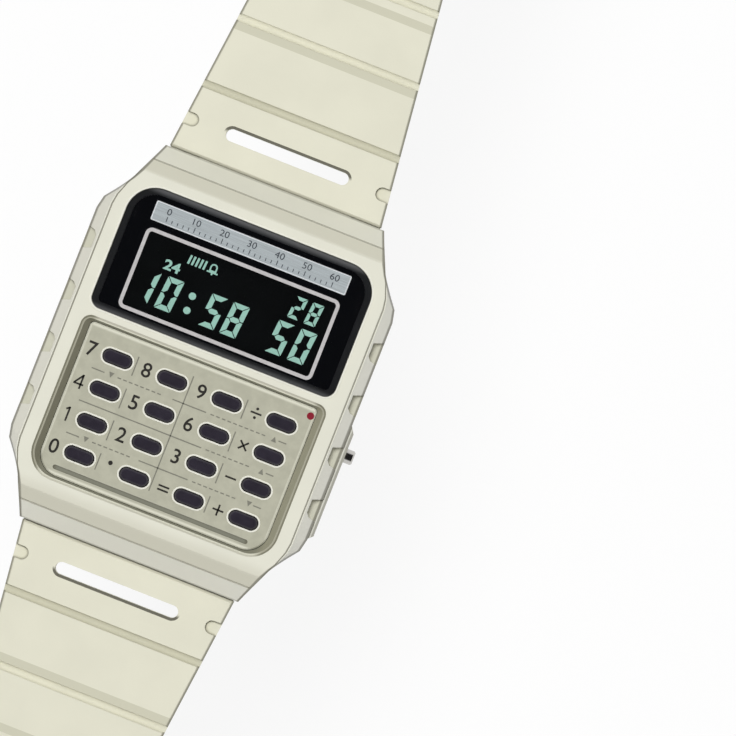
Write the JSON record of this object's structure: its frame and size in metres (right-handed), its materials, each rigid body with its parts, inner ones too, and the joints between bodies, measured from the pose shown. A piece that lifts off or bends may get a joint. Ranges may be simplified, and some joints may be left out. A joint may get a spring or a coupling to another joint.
{
  "type": "calculator wristwatch",
  "caption": "Small digital wristwatch with a keypad of pill keys under its display, resin case and strap halves on spring bars, pushers, keeper and steel buckle.",
  "frame": {"origin": "centre of the case back's outer face, on the surface that the watch lies on", "axes": "+X to 3 o'clock, +Y to 12 o'clock along the strap, +Z out of the display"},
  "size_m": [0.0359, 0.2392, 0.0082],
  "materials": {
    "case_resin": "satin moulded cream resin",
    "strap_resin": "satin moulded cream resin",
    "panel_resin": "satin warm grey",
    "crystal_glass": "clear, polished",
    "adhesive": "black tape",
    "black_print": "gloss black print",
    "silver_strip": "fine brushed",
    "key_rubber": "dark grey, satin",
    "membrane_rubber": "translucent grey",
    "display_glass": "dark liquid crystal cell",
    "holder_plastic": "white",
    "zebra_rubber": "layered",
    "housing_plastic": "black",
    "board_laminate": "green lacquer",
    "chip_resin": "black",
    "capacitor_ceramic": "brown ceramic",
    "contact_brass": "plain",
    "spring_steel": "plain",
    "bright_steel": "polished",
    "brushed_back": "straight brushed",
    "seal_rubber": "black"
  },
  "bodies": {
    "case": {"case_body": "case_resin", "crystal": "crystal_glass", "crystal_adhesive": "adhesive", "dial_mask": "black_print", "dial_nameplate": "silver_strip", "keypad_panel": "panel_resin", "keypad_membrane": "membrane_rubber", "lcd_panel": "display_glass", "lcd_holder": "holder_plastic", "zebra_strip": "zebra_rubber", "module_housing": "housing_plastic", "circuit_board": "board_laminate", "main_chip": "chip_resin", "quartz_crystal_can": "bright_steel", "chip_capacitors": "capacitor_ceramic", "switch_contacts": "contact_brass", "battery": "bright_steel", "battery_clip": "spring_steel", "module_screws": "spring_steel", "piezo_disc": "contact_brass", "buzzer_spring": "spring_steel", "case_back": "brushed_back", "case_back_gasket": "seal_rubber", "case_back_screws": "bright_steel", "pusher_springs": "spring_steel", "pusher_seals": "seal_rubber", "spring_bar_tubes": "spring_steel", "spring_bar_springs": "spring_steel"},
    "buckle_strap": {"strap_buckle_half": "strap_resin"},
    "hole_strap": {"strap_hole_half": "strap_resin"},
    "buckle": {"buckle_frame": "bright_steel", "buckle_pin": "bright_steel"},
    "tongue": {"buckle_tongue": "bright_steel"},
    "keeper": {"strap_keeper": "strap_resin"},
    "mode_button": {"mode_pusher": "bright_steel", "mode_pusher_clip": "spring_steel"},
    "adjust_button": {"adjust_pusher": "bright_steel", "adjust_pusher_clip": "spring_steel"},
    "key_0_button": {"key_0": "key_rubber"},
    "key_1_button": {"key_1": "key_rubber"},
    "key_2_button": {"key_2": "key_rubber"},
    "key_3_button": {"key_3": "key_rubber"},
    "key_4_button": {"key_4": "key_rubber"},
    "key_5_button": {"key_5": "key_rubber"},
    "key_6_button": {"key_6": "key_rubber"},
    "key_7_button": {"key_7": "key_rubber"},
    "key_8_button": {"key_8": "key_rubber"},
    "key_9_button": {"key_9": "key_rubber"},
    "key_point_button": {"key_point": "key_rubber"},
    "key_equals_button": {"key_equals": "key_rubber"},
    "key_plus_button": {"key_plus": "key_rubber"},
    "key_minus_button": {"key_minus": "key_rubber"},
    "key_times_button": {"key_times": "key_rubber"},
    "key_divide_button": {"key_divide": "key_rubber"},
    "upper_tip_right": {"upper_bar_tip_right": "spring_steel"},
    "upper_tip_left": {"upper_bar_tip_left": "spring_steel"},
    "lower_tip_right": {"lower_bar_tip_right": "spring_steel"},
    "lower_tip_left": {"lower_bar_tip_left": "spring_steel"}
  },
  "joints": [
    {"name": "buckle_strap_hinge", "type": "hinge", "parent": "case", "child": "buckle_strap", "pos_m": [0, 0.0195, 0.0026], "axis": [-1, 0, 0], "range_deg": [-3, 75]},
    {"name": "hole_strap_hinge", "type": "hinge", "parent": "case", "child": "hole_strap", "pos_m": [0, -0.0195, 0.0026], "axis": [1, 0, 0], "range_deg": [-3, 75]},
    {"name": "buckle_hinge", "type": "hinge", "parent": "buckle_strap", "child": "buckle", "pos_m": [0, 0.0945, 0.0022], "axis": [1, 0, 0], "range_deg": [-70, 45]},
    {"name": "tongue_hinge", "type": "hinge", "parent": "buckle", "child": "tongue", "pos_m": [0, 0.0945, 0.0022], "axis": [1, 0, 0], "range_deg": [0, 90]},
    {"name": "keeper_slide", "type": "slide", "parent": "buckle_strap", "child": "keeper", "axis": [0, 1, 0], "range_m": [-0.024, 0.005]},
    {"name": "mode_press", "type": "slide", "parent": "case", "child": "mode_button", "axis": [-1, 0, 0], "range_m": [0, 0.0007], "stiffness_N_per_m": 700, "deforming": ["pusher_springs"]},
    {"name": "adjust_press", "type": "slide", "parent": "case", "child": "adjust_button", "axis": [1, 0, 0], "range_m": [0, 0.0006], "stiffness_N_per_m": 700, "deforming": ["pusher_springs"]},
    {"name": "key_0_press", "type": "slide", "parent": "case", "child": "key_0_button", "axis": [0, 0, -1], "range_m": [0, 0.0005], "stiffness_N_per_m": 600, "deforming": ["keypad_membrane"]},
    {"name": "key_1_press", "type": "slide", "parent": "case", "child": "key_1_button", "axis": [0, 0, -1], "range_m": [0, 0.0005], "stiffness_N_per_m": 600, "deforming": ["keypad_membrane"]},
    {"name": "key_2_press", "type": "slide", "parent": "case", "child": "key_2_button", "axis": [0, 0, -1], "range_m": [0, 0.0005], "stiffness_N_per_m": 600, "deforming": ["keypad_membrane"]},
    {"name": "key_3_press", "type": "slide", "parent": "case", "child": "key_3_button", "axis": [0, 0, -1], "range_m": [0, 0.0005], "stiffness_N_per_m": 600, "deforming": ["keypad_membrane"]},
    {"name": "key_4_press", "type": "slide", "parent": "case", "child": "key_4_button", "axis": [0, 0, -1], "range_m": [0, 0.0005], "stiffness_N_per_m": 600, "deforming": ["keypad_membrane"]},
    {"name": "key_5_press", "type": "slide", "parent": "case", "child": "key_5_button", "axis": [0, 0, -1], "range_m": [0, 0.0005], "stiffness_N_per_m": 600, "deforming": ["keypad_membrane"]},
    {"name": "key_6_press", "type": "slide", "parent": "case", "child": "key_6_button", "axis": [0, 0, -1], "range_m": [0, 0.0005], "stiffness_N_per_m": 600, "deforming": ["keypad_membrane"]},
    {"name": "key_7_press", "type": "slide", "parent": "case", "child": "key_7_button", "axis": [0, 0, -1], "range_m": [0, 0.0005], "stiffness_N_per_m": 600, "deforming": ["keypad_membrane"]},
    {"name": "key_8_press", "type": "slide", "parent": "case", "child": "key_8_button", "axis": [0, 0, -1], "range_m": [0, 0.0005], "stiffness_N_per_m": 600, "deforming": ["keypad_membrane"]},
    {"name": "key_9_press", "type": "slide", "parent": "case", "child": "key_9_button", "axis": [0, 0, -1], "range_m": [0, 0.0005], "stiffness_N_per_m": 600, "deforming": ["keypad_membrane"]},
    {"name": "key_point_press", "type": "slide", "parent": "case", "child": "key_point_button", "axis": [0, 0, -1], "range_m": [0, 0.0005], "stiffness_N_per_m": 600, "deforming": ["keypad_membrane"]},
    {"name": "key_equals_press", "type": "slide", "parent": "case", "child": "key_equals_button", "axis": [0, 0, -1], "range_m": [0, 0.0005], "stiffness_N_per_m": 600, "deforming": ["keypad_membrane"]},
    {"name": "key_plus_press", "type": "slide", "parent": "case", "child": "key_plus_button", "axis": [0, 0, -1], "range_m": [0, 0.0005], "stiffness_N_per_m": 600, "deforming": ["keypad_membrane"]},
    {"name": "key_minus_press", "type": "slide", "parent": "case", "child": "key_minus_button", "axis": [0, 0, -1], "range_m": [0, 0.0005], "stiffness_N_per_m": 600, "deforming": ["keypad_membrane"]},
    {"name": "key_times_press", "type": "slide", "parent": "case", "child": "key_times_button", "axis": [0, 0, -1], "range_m": [0, 0.0005], "stiffness_N_per_m": 600, "deforming": ["keypad_membrane"]},
    {"name": "key_divide_press", "type": "slide", "parent": "case", "child": "key_divide_button", "axis": [0, 0, -1], "range_m": [0, 0.0005], "stiffness_N_per_m": 600, "deforming": ["keypad_membrane"]},
    {"name": "upper_tip_right_slide", "type": "slide", "parent": "case", "child": "upper_tip_right", "axis": [-1, 0, 0], "range_m": [0, 0.0012], "stiffness_N_per_m": 800, "deforming": ["spring_bar_springs"]},
    {"name": "upper_tip_left_slide", "type": "slide", "parent": "case", "child": "upper_tip_left", "axis": [1, 0, 0], "range_m": [0, 0.0012], "stiffness_N_per_m": 800, "deforming": ["spring_bar_springs"]},
    {"name": "lower_tip_right_slide", "type": "slide", "parent": "case", "child": "lower_tip_right", "axis": [-1, 0, 0], "range_m": [0, 0.0012], "stiffness_N_per_m": 800, "deforming": ["spring_bar_springs"]},
    {"name": "lower_tip_left_slide", "type": "slide", "parent": "case", "child": "lower_tip_left", "axis": [1, 0, 0], "range_m": [0, 0.0012], "stiffness_N_per_m": 800, "deforming": ["spring_bar_springs"]}
  ]
}
